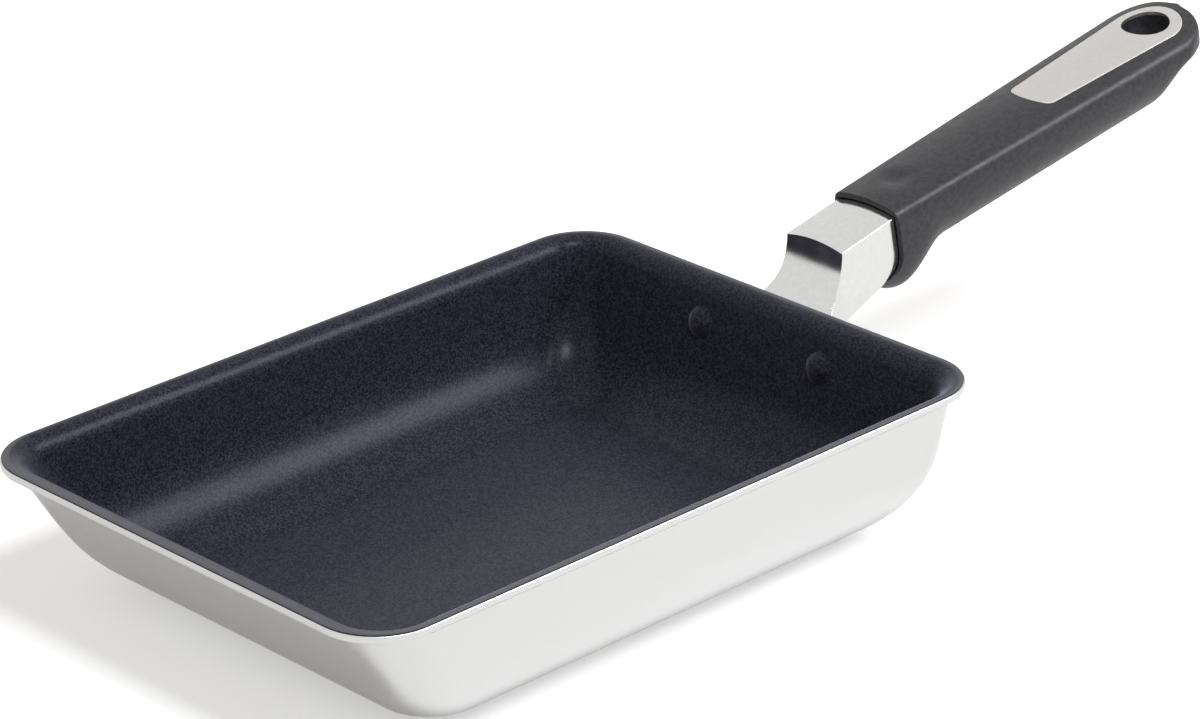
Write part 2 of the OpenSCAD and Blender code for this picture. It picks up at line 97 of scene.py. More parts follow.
def placeRow(piece, row, points):  # moves one row of vertices to points in mm
    mesh = openMesh(piece)
    for i, p in zip(row, points):
        mesh.verts[i].co = Vector(p) * mm
    bmesh.update_edit_mesh(piece.data)


def selectVerts(piece, wanted):
    mesh = openMesh(piece)
    wanted = set(wanted)
    for v in mesh.verts:
        v.select_set(v.index in wanted)
    mesh.select_flush(True)
    mesh.select_flush(False)
    bmesh.update_edit_mesh(piece.data)


def selectRow(piece, row, closed=True):  # selects only the edges that join neighbours of a row
    mesh = openMesh(piece, "EDGE")
    for e in mesh.edges:
        e.select_set(False)
    pairs = list(zip(row, row[1:])) + ([(row[-1], row[0])] if closed else [])
    for a, b in pairs:
        edge = mesh.edges.get((mesh.verts[a], mesh.verts[b]))
        edge.select_set(True)
    bmesh.update_edit_mesh(piece.data)


def growRow(piece, row, points, closed=True):  # extrudes a row of edges and moves it to points
    selectRow(piece, row, closed)
    bpy.ops.mesh.extrude_edges_move()
    mesh = openMesh(piece)
    fresh = []
    for i in row:
        v = mesh.verts[i]
        fresh.append(next(e.other_vert(v).index for e in v.link_edges if e.other_vert(v).select))
    placeRow(piece, fresh, points)
    return fresh


def loft(name, rows):  # closed rings, extruded one after the other
    clearSelection()
    bpy.ops.mesh.primitive_circle_add(vertices=len(rows[0]), radius=mm, fill_type="NOTHING")
    piece = startPiece(name)
    row = list(range(len(rows[0])))
    placeRow(piece, row, rows[0])
    kept = [row]
    for points in rows[1:]:
        row = growRow(piece, row, points)
        kept.append(row)
    return piece, kept


def ribbon(name, rows):  # open rows, extruded one after the other
    clearSelection()
    count = len(rows[0])
    bpy.ops.mesh.primitive_grid_add(x_subdivisions=count - 1, y_subdivisions=1, size=mm)
    piece = startPiece(name)
    first, second = list(range(count)), list(range(count, 2 * count))
    placeRow(piece, first, rows[0])
    placeRow(piece, second, rows[1])
    kept = [first, second]
    for points in rows[2:]:
        kept.append(growRow(piece, kept[-1], points, closed=False))
    return piece, kept


def capRow(piece, row):
    selectRow(piece, row)
    bpy.ops.mesh.edge_face_add()


def closedLoft(name, rows):  # a loft with a cap on both ends
    piece, kept = loft(name, rows)
    capRow(piece, kept[0])
    capRow(piece, kept[-1])
    closeMesh(piece)
    return piece


def applyModifier(piece, kind, **values):
    clearSelection()
    piece.select_set(True)
    bpy.context.view_layer.objects.active = piece
    modifier = piece.modifiers.new(kind.title().replace("_", ""), kind)
    for key, value in values.items():
        setattr(modifier, key, value)
    bpy.ops.object.modifier_apply(modifier=modifier.name)


def cutWith(piece, *cutters, join=False):
    action = "UNION" if join else "DIFFERENCE"
    for cutter in cutters:
        applyModifier(piece, "BOOLEAN", operation=action, object=cutter, solver="EXACT", use_self=join)
        bpy.data.objects.remove(cutter)


def mendMesh(piece):  # joins doubles and closes the pinholes that a union leaves
    openMesh(piece)
    bpy.ops.mesh.select_all(action="SELECT")
    bpy.ops.mesh.remove_doubles(threshold=0.01 * mm)
    bpy.ops.mesh.select_all(action="SELECT")
    bpy.ops.mesh.fill_holes(sides=16)
    bpy.ops.object.mode_set(mode="OBJECT")


def rod(spot, axis, length, diameter, sides=48):  # a cutter that starts at a spot and runs along an axis
    clearSelection()
    along = Vector(axis).normalized()
    middle = (Vector(spot) + along * length / 2) * mm
    turn = along.to_track_quat("Z", "Y").to_euler()
    bpy.ops.mesh.primitive_cylinder_add(
        vertices=sides, radius=diameter / 2 * mm, depth=length * mm, location=middle, rotation=turn)
    bpy.ops.object.transform_apply(location=True, rotation=True, scale=True)
    return bpy.context.object


def finishPiece(piece, node, material, smooth=32):
    clearSelection()
    piece.select_set(True)
    bpy.context.view_layer.objects.active = piece
    bpy.ops.object.transform_apply(location=True, rotation=True, scale=True)
    bpy.ops.object.shade_smooth_by_angle(angle=radians(smooth))
    applyModifier(piece, "WEIGHTED_NORMAL", keep_sharp=True)
    piece.data.materials.clear()
    piece.data.materials.append(material)
    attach(piece, "root")
    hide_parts(node)
    print("made", piece.name, len(piece.data.polygons), "faces")


# finishes
def newMaterial(name, colour, metallic, roughness):
    material = bpy.data.materials.new(name)
    material.use_nodes = True
    shader = material.node_tree.nodes["Principled BSDF"]
    shader.inputs["Base Color"].default_value = (*colour, 1)
    shader.inputs["Metallic"].default_value = metallic
    shader.inputs["Roughness"].default_value = roughness
    return material


def addNode(material, kind, **values):
    node = material.node_tree.nodes.new(kind)
    for key, value in values.items():
        if key in node.inputs:
            node.inputs[key].default_value = value
        else:
            setattr(node, key, value)
    return node


def joinNodes(material, source, output, target, entry):
    material.node_tree.links.new(source.outputs[output], target.inputs[entry])


def objectNoise(material, scale, detail=2, kind="ShaderNodeTexNoise"):
    place = addNode(material, "ShaderNodeTexCoord")
    noise = addNode(material, kind)
    noise.inputs["Scale"].default_value = scale
    if "Detail" in noise.inputs:
        noise.inputs["Detail"].default_value = detail
    joinNodes(material, place, "Object", noise, "Vector")
    return noise


def ramp(material, source, output, stops):
    node = addNode(material, "ShaderNodeValToRGB")
    elements = node.color_ramp.elements
    while len(elements) < len(stops):
        elements.new(0.5)
    for element, (place, colour) in zip(elements, stops):
        element.position = place
        element.color = (*colour, 1)
    joinNodes(material, source, output, node, "Fac")
    return node


def roughen(material, scale, low, high):  # uneven gloss, from the middle of a noise's range
    shader = material.node_tree.nodes["Principled BSDF"]
    noise = objectNoise(material, scale, 4)
    spread = addNode(material, "ShaderNodeMapRange")
    for entry, value in (("From Min", 0.3), ("From Max", 0.7), ("To Min", low), ("To Max", high)):
        spread.inputs[entry].default_value = value
    joinNodes(material, noise, "Fac", spread, "Value")
    joinNodes(material, spread, "Result", shader, "Roughness")


def emboss(material, scale, depth, detail=2):
    shader = material.node_tree.nodes["Principled BSDF"]
    noise = objectNoise(material, scale, detail)
    bump = addNode(material, "ShaderNodeBump")
    bump.inputs["Strength"].default_value = 1
    bump.inputs["Distance"].default_value = depth * mm
    joinNodes(material, noise, "Fac", bump, "Height")
    joinNodes(material, bump, "Normal", shader, "Normal")


def makeShellFinish():
    look = {"colour": (0.63, 0.628, 0.623), "low": 0.3, "high": 0.36, "polish": 260,
            "grain": 2600, "grainDepth": 0.004}
    material = newMaterial("satinAluminium", look["colour"], 1, look["low"])
    roughen(material, look["polish"], look["low"], look["high"])
    emboss(material, look["grain"], look["grainDepth"])
    return material


def makeLiningFinish():
    look = {
        # the paler lip colour and its heights below are a painted highlight on the lip's flat top
        "dark": (0.0088, 0.0082, 0.016), "fleck": (0.034, 0.034, 0.05), "paintedLipHighlight": (0.07, 0.069, 0.076),
        "fleckScale": 2600, "fleckFrom": 0.86, "fleckTo": 0.99, "paintedLipHighlightFrom": 39.7, "paintedLipHighlightTo": 39.79,
        "grain": 1700, "grainDepth": 0.017, "grainDetail": 3, "roughness": 0.29,
    }
    sockets = {
        "Specular IOR Level": 0.1, "Specular Tint": (0.85, 0.86, 1.0, 1),
        "Sheen Weight": 0.5, "Sheen Roughness": 0.36, "Sheen Tint": (0.8, 0.83, 1.0, 1),
    }
    material = newMaterial("nonStickCoating", look["dark"], 0, look["roughness"])
    shader = material.node_tree.nodes["Principled BSDF"]
    for entry, value in sockets.items():
        shader.inputs[entry].default_value = value
    grains = objectNoise(material, look["fleckScale"], kind="ShaderNodeTexVoronoi")
    flecks = ramp(material, grains, "Color", [
        (0.0, look["dark"]), (look["fleckFrom"], look["dark"]), (look["fleckTo"], look["fleck"])])
    place = addNode(material, "ShaderNodeTexCoord")
    split = addNode(material, "ShaderNodeSeparateXYZ")
    joinNodes(material, place, "Object", split, 0)
    paintedLipHighlight = addNode(material, "ShaderNodeMapRange")  # painted highlight: the coating is painted paler along the flat top of the lip, in place of the light that this top reflects
    paintedLipHighlight.inputs["From Min"].default_value = look["paintedLipHighlightFrom"] * mm
    paintedLipHighlight.inputs["From Max"].default_value = look["paintedLipHighlightTo"] * mm
    joinNodes(material, split, "Z", paintedLipHighlight, "Value")
    # mixes the painted highlight into the coating's colour along the top of the lip
    paintedHighlightMix = addNode(material, "ShaderNodeMix", data_type="RGBA")
    paintedHighlightMix.inputs[7].default_value = (*look["paintedLipHighlight"], 1)
    joinNodes(material, paintedLipHighlight, "Result", paintedHighlightMix, 0)
    joinNodes(material, flecks, "Color", paintedHighlightMix, 6)
    joinNodes(material, paintedHighlightMix, 2, shader, "Base Color")
    emboss(material, look["grain"], look["grainDepth"], look["grainDetail"])
    return material


def makeSteelFinish(name, colour, low, high):
    look = {"cloud": 700, "darker": 0.975, "lighter": 1.02, "polish": 180}
    material = newMaterial(name, colour, 1, low)
    shader = material.node_tree.nodes["Principled BSDF"]
    cloud = objectNoise(material, look["cloud"], 4)
    stops = [(0.35, [c * look["darker"] for c in colour]), (0.65, [c * look["lighter"] for c in colour])]
    joinNodes(material, ramp(material, cloud, "Fac", stops), "Color", shader, "Base Color")
    roughen(material, look["polish"], low, high)
    return material


def makeResinFinish():
    look = {
        "dark": (0.0105, 0.0105, 0.0125), "light": (0.024, 0.024, 0.0275), "cloud": 800, "cloudDetail": 5,
        "low": 0.38, "high": 0.47, "gloss": 0.38, "polish": 320, "grain": 1500, "grainDepth": 0.035,
        "grainDetail": 3,
    }
    material = newMaterial("gripResin", look["dark"], 0, look["low"])
    shader = material.node_tree.nodes["Principled BSDF"]
    shader.inputs["Specular IOR Level"].default_value = look["gloss"]
    cloud = objectNoise(material, look["cloud"], look["cloudDetail"])
    tone = ramp(material, cloud, "Fac", [(0.38, look["dark"]), (0.62, look["light"])])
    joinNodes(material, tone, "Color", shader, "Base Color")
    roughen(material, look["polish"], look["low"], look["high"])
    emboss(material, look["grain"], look["grainDepth"], look["grainDetail"])
    return material


shellFinish = makeShellFinish()
liningFinish = makeLiningFinish()
bracketFinish = makeSteelFinish("platedSteel", (0.655, 0.655, 0.64), 0.13, 0.2)
fastenerFinish = makeSteelFinish("zincPlate", (0.5, 0.5, 0.51), 0.28, 0.38)
inlayFinish = makeSteelFinish("satinInlay", (0.6, 0.58, 0.562), 0.3, 0.36)
rivetFinish = makeSteelFinish("rivetAluminium", (0.7, 0.7, 0.69), 0.3, 0.38)
resinFinish = makeResinFinish()
print("finishes ready")


# the pressed pan and its lining
pan = {
    "rimLength": 201.2, "rimWidth": 145.0, "rimHeight": 39.8, "rimCorner": 16.5,
    "sheet": 2.0, "liningThickness": 0.3, "overhang": 3.4, "lipRadius": 3.0, "liningSetback": 0.3,
    "frontLean": 31.0, "handleLean": 15.5, "sideLean": 1.0,
    "frontBase": 32.0, "handleBase": 24.0, "sideBase": 25.0, "baseTurn": 78.0,
    "edgeLower": 0.7, "edgeUpper": 0.35, "liningEdgeLower": 0.02, "liningEdgeUpper": 0.2,
    "cornerSteps": 18, "baseSteps": 22, "wallSteps": 4, "lipSteps": 10, "edgeSteps": 4,
}
lipUnder = pan["rimHeight"] - pan["sheet"] - pan["liningThickness"]
lipCentreZ = lipUnder - pan["lipRadius"]
liningFace = pan["sheet"] + pan["liningThickness"]


def inset(z, depth, lean, radius):  # how far a wall's surface lies inside the rim's edge
    arcTop = radius - (radius - depth) * sinD(lean)
    baseCentre = pan["overhang"] + (lipUnder - radius) * tanD(lean) + radius / cosD(lean)
    lipCentre = pan["overhang"] + pan["lipRadius"] * (tanD(lean) - 1 / cosD(lean))
    lipStart = lipCentreZ + (pan["lipRadius"] + depth) * sinD(lean)
    if z <= arcTop:
        return baseCentre - sqrt(max((radius - depth) ** 2 - (radius - z) ** 2, 0))
    if z < lipStart:
        return pan["overhang"] + (lipUnder - z) * tanD(lean) + depth / cosD(lean)
    return lipCentre + sqrt(max((pan["lipRadius"] + depth) ** 2 - (z - lipCentreZ) ** 2, 0))


def rimRing(z, front, back, side, corner):
    x0, x1 = front - pan["rimLength"] / 2, pan["rimLength"] / 2 - back
    y1 = pan["rimWidth"] / 2 - side
    middles = [(x1 - corner, y1 - corner, 0), (x0 + corner, y1 - corner, 90),
               (x0 + corner, corner - y1, 180), (x1 - corner, corner - y1, 270)]
    return [(x, y, z) for cx, cy, a in middles for x, y in arc(cx, cy, corner, a, a + 90, pan["cornerSteps"])]


def wallRing(z, depth):
    side = inset(z, depth, pan["sideLean"], pan["sideBase"])
    return rimRing(z, inset(z, depth, pan["frontLean"], pan["frontBase"]),
                   inset(z, depth, pan["handleLean"], pan["handleBase"]), side,
                   pan["rimCorner"] - min(side, pan["overhang"] + depth))


def lipRing(z, edge):
    return rimRing(z, edge, edge, edge, pan["rimCorner"] - edge)


def wallLevels(depth):
    radius = pan["sideBase"] - depth
    turn = [pan["baseTurn"] * i / pan["baseSteps"] for i in range(pan["baseSteps"] + 1)]
    levels = [depth + radius * (1 - cosD(a)) for a in turn]
    top, steps = levels[-1], pan["wallSteps"]
    levels += [top + (lipCentreZ - top) * i / (steps + 1) for i in range(1, steps + 1)]
    steps = pan["lipSteps"]
    return levels + [lipCentreZ + (pan["lipRadius"] + depth) * sinD(90 * i / steps) for i in range(steps + 1)]


def edgeRings(bottom, top, edge, lower, upper):  # the lip's edge, rounded below and above
    steps = pan["edgeSteps"]
    rings = [lipRing(bottom + lower - r[1], edge + lower - r[0]) for r in arc(0, 0, lower, 90, 0, steps)]
    return rings + [lipRing(top - upper + r[1], edge + upper - r[0]) for r in arc(0, 0, upper, 0, 90, steps)]


def makeSkin(name, under, over, edge, lower, upper):
    rings = [wallRing(z, under) for z in wallLevels(under)]
    rings += edgeRings(lipUnder + under, lipUnder + over, edge, lower, upper)
    rings += [wallRing(z, over) for z in reversed(wallLevels(over))]
    return closedLoft(name, rings)


shell = makeSkin("panShell", 0, pan["sheet"], 0, pan["edgeLower"], pan["edgeUpper"])
lining = makeSkin("panLining", pan["sheet"], liningFace, pan["liningSetback"],
                  pan["liningEdgeLower"], pan["liningEdgeUpper"])
print("pan pressed")


# rivets, on axes that point out of the handle's wall
rivets = {
    "spacing": 42.0, "drop": 9.4, "shank": 4.0, "clearance": 0.05,
    "head": 8.4, "headHeight": 1.5, "tail": 6.6, "tailHeight": 1.8, "hair": 0.02,
    "headBase": 0.06, "headStep": 0.1, "tailRound": 0.7, "poleTurn": 0.6, "sides": 48, "holeReach": 8,
}
wallOut = (cosD(pan["handleLean"]), 0, -sinD(pan["handleLean"]))


def wallX(z):
    return pan["rimLength"] / 2 - pan["overhang"] - (lipUnder - z) * tanD(pan["handleLean"])


rivetZ = lipUnder - rivets["drop"]
flangeMiddle = (wallX(rivetZ), rivetZ)


def onRivet(side, along, radius=0.0, angle=0.0):  # a point round a rivet's axis
    across = Vector((sinD(pan["handleLean"]), 0, cosD(pan["handleLean"])))
    spot = Vector((flangeMiddle[0], side * rivets["spacing"] / 2, flangeMiddle[1]))
    return spot + Vector(wallOut) * along + (across * cosD(angle) + Vector((0, 1, 0)) * sinD(angle)) * radius


def rivetHoles(piece):
    hole, reach = rivets["shank"] + 2 * rivets["clearance"], rivets["holeReach"]
    cutWith(piece, *[rod(onRivet(side, -reach), wallOut, 2 * reach, hole) for side in (1, -1)])


def makeRivet(name, side, bracketSheet):
    headAt = -liningFace - rivets["hair"]
    tailAt = bracketSheet + 2 * rivets["hair"]
    headR, tailR, shankR = rivets["head"] / 2, rivets["tail"] / 2, rivets["shank"] / 2
    dome = (headR ** 2 + rivets["headHeight"] ** 2) / (2 * rivets["headHeight"])
    domeTurn = degrees(asin(headR / dome))
    centre = headAt - rivets["headHeight"] + dome
    soft, tailTop = rivets["tailRound"], tailAt + rivets["tailHeight"]
    profile = [(r, centre - h) for h, r in arc(0, 0, dome, rivets["poleTurn"], domeTurn - 2, 9)]
    profile += [(headR, headAt - rivets["headBase"]), (headR - rivets["headStep"], headAt)]
    profile += [(shankR, headAt), (shankR, tailAt), (tailR, tailAt)]
    profile += [(tailR - soft + r, tailTop - soft + h) for r, h in arc(0, 0, soft, 0, 80, 5)]
    profile += [(tailR / 3, tailTop)]
    turns = [360 * i / rivets["sides"] for i in range(rivets["sides"])]
    return closedLoft(name, [[onRivet(side, h, r, turn) for turn in turns] for r, h in profile])


# the folded bracket, and the sizes of the grip and the screw that it depends on
bracket = {
    "sheet": 1.5, "reach": 12.1, "rise": 11.9, "neckWidth": 19.6, "neckTilt": 12.0,
    "upright": 2.0, "sweep": 18.0, "sweepAngle": 70.0, "flangeBend": 2.0, "flangeHeight": 12.0,
    "tang": 26.0, "tangFront": 7.0, "margin": 0.3, "spread": 25.0, "spreadRadius": 9.0, "spreadStart": 0.5,
    "ridge": 0.22, "foldTurn": 25, "cheekDrop": 70.0, "hair": 0.02,
    "columns": 13, "bendSteps": 6, "sweepSteps": 16, "neckRows": (0.1, 0.4, 0.7, 1), "neckInside": 5.0,
    "flangeRings": ((0.01, 0), (1.1, 0), (1.38, 0.12), (1.48, 0.4)),
}
grip = {
    "tilt": 9.7, "neckExposed": 18.4, "length": 126.0, "frontWidth": 21.4, "tailWidth": 28.2,
    "crown": 40.0, "depth": 19.9, "guardDepth": 25.2, "tailDepth": 10.9, "mouth": 19.0, "lipReach": 7.0,
    "swell": 0.9, "wall": 1.75, "hole": 13.2, "holeInset": 14.9, "gap": 0.1,
    "guardU": 2.5, "guardReach": 17.5, "noseRise": 7.5, "swellDepth": 6.0,
    "bellyFull": 2.15, "guardFull": 4.0, "tailLead": 10.5, "tailRise": 12.5, "tailRound": 13.0,
    "mouthRadius": 5.5, "mouthBack": 0.3,
    "tailBevel": 2.4, "tailEdge": 0.5, "tailTopFull": 2.35, "tailSideFull": 1.65,
    "crownSteps": 10, "sideSteps": 4, "bellySteps": 16, "ridge": 1.4, "ridgeSteps": 6,
    "thumbU": 12.7, "thumbY": 0.6, "thumbReach": 3.8, "thumbDepth": 1.1, "relief": 0.2, "reliefEnd": 1.3,
    "flatFrom": 12.0, "plainFrom": 22.0, "plainSteps": 7, "tailSteps": 26, "mouthEdge": 0.6,
    "mouthRows": (0, 0.12, 0.22, 0.32, 0.42, 0.52, 0.62, 0.72, 0.81, 0.9),
}
screw = {
    "depth": 9.2, "diameter": 4.0, "clearance": 0.1, "seat": 14.0,
    "washer": 7.6, "pocket": 0.15, "nut": 7.0,
}

neckX = pan["rimLength"] / 2 + bracket["reach"]
neckZ = pan["rimHeight"] + bracket["rise"]
halfNeck = bracket["neckWidth"] / 2
gripX = neckX + grip["neckExposed"]
gripZ = neckZ + grip["neckExposed"] * tanD(bracket["neckTilt"])
gripZ += (grip["wall"] + grip["gap"]) / cosD(grip["tilt"])
along = Vector((cosD(grip["tilt"]), 0, sinD(grip["tilt"])))
upward = Vector((-sinD(grip["tilt"]), 0, cosD(grip["tilt"])))
tangDepth = screw["depth"] + screw["nut"] / 2 + bracket["margin"]
tangDrop = grip["wall"] + grip["gap"] + bracket["margin"]
cheekDepth = grip["mouth"] + 2 * bracket["margin"]
cheekFront = bracket["margin"] - grip["lipReach"]


def onGrip(u, y, n):  # a point of the grip: along it, across it and above its top
    return Vector((gripX, y, gripZ)) + along * u + upward * n


def crownAt(y):
    return sqrt(grip["crown"] ** 2 - y * y) - grip["crown"]


def cheekY(x):  # half of the bracket's width at x
    bendX, bendY = neckX + bracket["spreadStart"], halfNeck + bracket["spreadRadius"]
    kneeX = bendX - bracket["spreadRadius"] * sinD(bracket["spread"])
    kneeY = bendY - bracket["spreadRadius"] * cosD(bracket["spread"])
    if x >= bendX:
        return halfNeck
    if x >= kneeX:
        return bendY - sqrt(bracket["spreadRadius"] ** 2 - (x - bendX) ** 2)
    return kneeY + (kneeX - x) * tanD(bracket["spread"])


def makeBracket():
    lean, sweep = pan["handleLean"], bracket["sweepAngle"]
    seat = (flangeMiddle[0] + bracket["hair"] * wallOut[0], flangeMiddle[1] + bracket["hair"] * wallOut[2])
    half = bracket["flangeHeight"] / 2
    foot = (seat[0] - half * sinD(lean), seat[1] - half * cosD(lean))
    c1 = (neckX - bracket["sweep"], neckZ - bracket["upright"])
    e1 = (c1[0] + bracket["sweep"] * cosD(sweep), c1[1] - bracket["sweep"] * sinD(sweep))
    down, up = (-sinD(sweep), -cosD(sweep)), (-cosD(sweep), sinD(sweep))
    bend = bracket["flangeBend"] + bracket["sheet"]
    toWall = (seat[0] - e1[0] + bend * up[0]) * wallOut[0] + (seat[1] - e1[1] + bend * up[1]) * wallOut[2]
    run = (bend + toWall) / (down[0] * wallOut[0] + down[1] * wallOut[2])
    c2 = (e1[0] + run * down[0] - bend * up[0], e1[1] + run * down[1] - bend * up[1])
    path = [foot] + arc(*c2, bend, 180 - lean, 180 - sweep, bracket["bendSteps"])
    path += [(e1[0] + run * t * down[0], e1[1] + run * t * down[1]) for t in (0.75, 0.5, 0.25)]
    path += arc(*c1, bracket["sweep"], -sweep, 0, bracket["sweepSteps"])
    columns = bracket["columns"]

    def across(x, z, crowned):  # one row of the sheet at x
        halfWidth = cheekY(x)
        ys = [halfWidth * (2 * i / (columns - 1) - 1) for i in range(columns)]
        return [(x, y, z + crownAt(y) * crowned) for y in ys]

    rows = [across(x, z, 0) for x, z in path]
    front = len(rows)
    rows.append(across(neckX, neckZ, 1))
    neckEnd = grip["neckExposed"] + bracket["neckInside"]
    for t in bracket["neckRows"]:
        rows.append(across(neckX + neckEnd * t, neckZ + neckEnd * t * tanD(bracket["neckTilt"]), 1))
    ys = [halfNeck * (2 * i / (columns - 1) - 1) for i in range(columns)]
    for u in (bracket["tangFront"], 2 * bracket["tangFront"], 3 * bracket["tangFront"], bracket["tang"] + 3):
        rows.append([onGrip(u, y, crownAt(y) - tangDrop) for y in ys])
    piece, kept = ribbon("foldedBracket", rows)

    hang = {"value": (0, 0, -bracket["cheekDrop"] * mm)}
    for edge in (0, -1):  # the cheeks hang straight down from both sides of the tongue and the neck
        for stretch in (kept[:front], kept[front:]):
            selectRow(piece, [row[edge] for row in stretch], closed=False)
            bpy.ops.mesh.extrude_edges_move(TRANSFORM_OT_translate=hang)

    def bisect(point, normal, wanted, trim):  # cuts the faces that pass the test, and trims beyond the plane
        mesh = openMesh(piece, "FACE")
        for face in mesh.faces:
            face.select_set(wanted(face.calc_center_median()))
        bmesh.update_edit_mesh(piece.data)
        bpy.ops.mesh.bisect(plane_co=Vector(point) * mm, plane_no=normal, clear_outer=trim)

    lipAt = onGrip(cheekFront, 0, -cheekDepth)
    kink = onGrip(bracket["tangFront"], 0, -tangDepth)
    tangEnd = onGrip(bracket["tang"], 0, -tangDepth)
    footAt = Vector((foot[0], 0, foot[1]))
    beyond = (kink * mm).dot(along)
    bisect(tangEnd, along, lambda c: True, True)
    bisect(kink, along, lambda c: True, False)
    besideNeck = (halfNeck - 0.01) * mm
    bisect((neckX, 0, c1[1]), (0, 0, 1), lambda c: c.x > neckX * mm and abs(c.y) > besideNeck, False)
    bisect(kink, -upward, lambda c: c.dot(along) > beyond, True)
    for a, b in ((lipAt, kink), (footAt, lipAt)):
        run = (b - a).normalized()
        bisect(a, (run.z, 0, -run.x), lambda c: c.dot(along) < beyond, True)

    mesh = openMesh(piece, "EDGE")  # the folded end of the tang
    endAt = (tangEnd * mm).dot(along)
    for e in mesh.edges:
        e.select_set(e.is_boundary and all(abs(v.co.dot(along) - endAt) < 1e-6 for v in e.verts))
    bmesh.update_edit_mesh(piece.data)
    bpy.ops.mesh.edge_face_add()
    openMesh(piece)
    bpy.ops.mesh.select_all(action="SELECT")
    bpy.ops.mesh.remove_doubles(threshold=0.02 * mm)
    bpy.ops.mesh.delete_loose()
    openMesh(piece)
    bpy.ops.mesh.select_all(action="SELECT")
    bpy.ops.mesh.normals_make_consistent(inside=False)

    def spotsOf(edge):  # tells an edge apart by its place, whatever its index
        return frozenset(tuple(round(c / mm, 2) for c in v.co) for v in edge.verts)

    mesh = openMesh(piece, "EDGE")
    foldTurn = radians(bracket["foldTurn"])
    folds = {spotsOf(e) for e in mesh.edges if not e.is_boundary and e.calc_face_angle(0) > foldTurn}
    closeMesh(piece)
    applyModifier(piece, "SOLIDIFY", thickness=bracket["sheet"] * mm, offset=-1, use_even_offset=True)
    mesh = openMesh(piece, "EDGE")
    for v in mesh.verts:  # the cheeks' tips end level with the flange's foot
        v.co.z = max(v.co.z, footAt.z * mm)
    for e in mesh.edges:
        e.select_set(spotsOf(e) in folds)
    bmesh.update_edit_mesh(piece.data)
    bpy.ops.mesh.bevel(offset=bracket["ridge"] * mm, segments=4, affect="EDGES", clamp_overlap=True)
    closeMesh(piece)

    spacing = rivets["spacing"] / 2
    ends = [(spacing, a) for a in range(-90, 91, 10)] + [(-spacing, a) for a in range(90, 271, 10)]
    plan = [(side + half * cosD(a), half * sinD(a)) for side, a in ends]
    rise = Vector((sinD(lean), 0, cosD(lean)))

    def flangeRing(out, less):
        spot = Vector((seat[0], 0, seat[1])) + Vector(wallOut) * out
        wide, tall = 1 - less / (spacing + half), 1 - less / half
        return [spot + Vector((0, y * wide, 0)) + rise * n * tall for y, n in plan]

    flange = closedLoft("flange", [flangeRing(out, less) for out, less in bracket["flangeRings"]])
    cutWith(piece, flange, join=True)
    mendMesh(piece)
    rivetHoles(piece)
    bore = screw["diameter"] + 4 * screw["clearance"]
    cutWith(piece, rod(onGrip(bracket["tang"] - 4, 0, -screw["depth"]), along, 8, bore))
    mendMesh(piece)
    closeMesh(piece)
    return piece


rivetHoles(shell)
rivetHoles(lining)
finishPiece(shell, "pan_body", shellFinish)
finishPiece(lining, "nonstick_lining", liningFinish)
for side, name in ((1, "left"), (-1, "right")):
    piece = makeRivet("rivet" + name.title(), side, bracket["sheet"])
    finishPiece(piece, "rivet_" + name, liningFinish)
    piece.data.materials.append(rivetFinish)
    for face in piece.data.polygons:  # only the head is coated
        height = (face.center / mm - onRivet(side, 0)).dot(Vector(wallOut))
        face.material_index = int(height > -liningFace)
finishPiece(makeBracket(), "handle_bracket", bracketFinish)


# the moulded grip
holeU = grip["length"] - grip["holeInset"]
tailRiseU = holeU - grip["tailLead"]
seatU = holeU - screw["seat"]


def oval(s, full):  # a quarter of an oval, fuller than an ellipse above 2
    return max(1 - s ** full, 0) ** (1 / full)


def ridgeHalf(u):
    if u < holeU:
        return (grip["frontWidth"] + (grip["tailWidth"] - grip["frontWidth"]) * u / holeU) / 2
    s = (u - holeU) / (grip["holeInset"] - grip["tailBevel"])
    return max(grip["tailWidth"] / 2 * oval(s, grip["tailTopFull"]), grip["tailEdge"])


def swellHalf(u):
    if u < holeU:
        return ridgeHalf(u) + grip["swell"]
    s = (u - holeU) / grip["holeInset"]
    return (grip["tailWidth"] / 2 + grip["swell"]) * oval(s, grip["tailSideFull"])


def belly(u):
    nose = (grip["guardU"] - u) / (grip["guardU"] + grip["lipReach"])
    back = max((u - grip["length"] + grip["tailRound"]) / grip["tailRound"], 0)
    if u < grip["guardU"]:
        full = grip["guardDepth"] - grip["noseRise"] * (1 - sqrt(max(1 - nose * nose, 0)))
    else:
        guard = 1 - smoothStep((u - grip["guardU"]) / grip["guardReach"])
        full = grip["depth"] + (grip["guardDepth"] - grip["depth"]) * guard
        full -= (grip["depth"] - grip["tailDepth"]) * smoothStep((u - tailRiseU) / grip["tailRise"])
    return grip["swellDepth"] + (full - grip["swellDepth"]) * sqrt(max(1 - back * back, 0))


def tailFall(u):
    s = max((u - grip["length"] + grip["tailBevel"]) / grip["tailBevel"], 0)
    return (grip["swellDepth"] - grip["tailEdge"]) * (1 - sqrt(max(1 - s * s, 0)))


def dent(u, y):  # a shallow hollow for the thumb
    far = ((u - grip["thumbU"]) ** 2 + (y - grip["thumbY"]) ** 2) / grip["thumbReach"] ** 2
    return grip["thumbDepth"] * exp(-far)


